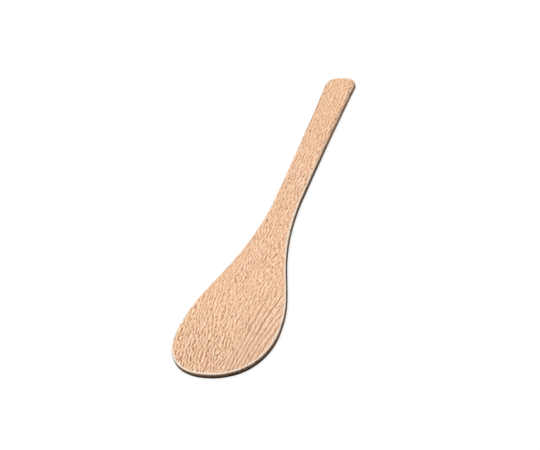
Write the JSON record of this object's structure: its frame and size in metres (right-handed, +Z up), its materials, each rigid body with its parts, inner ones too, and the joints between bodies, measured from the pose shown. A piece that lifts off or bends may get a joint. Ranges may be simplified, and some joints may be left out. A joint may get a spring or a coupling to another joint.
{
  "type": "wooden spatula",
  "caption": "Flat wooden spatula cut from one board: a rounded paddle blade that narrows in a long neck to a slim straight handle with eased edges, for stirring, turning and serving food.",
  "frame": {"origin": "under the middle of the board, on the surface that it lies on", "axes": "+Y along the length, from the blade's tip to the handle's end; +X across the blade; +Z up through the thickness"},
  "size_m": [0.072, 0.3, 0.0045],
  "materials": {
    "beech": "sanded, unvarnished, satin, with fine grain along the length"
  },
  "bodies": {
    "root": {"spatula_board": "beech"}
  },
  "joints": []
}
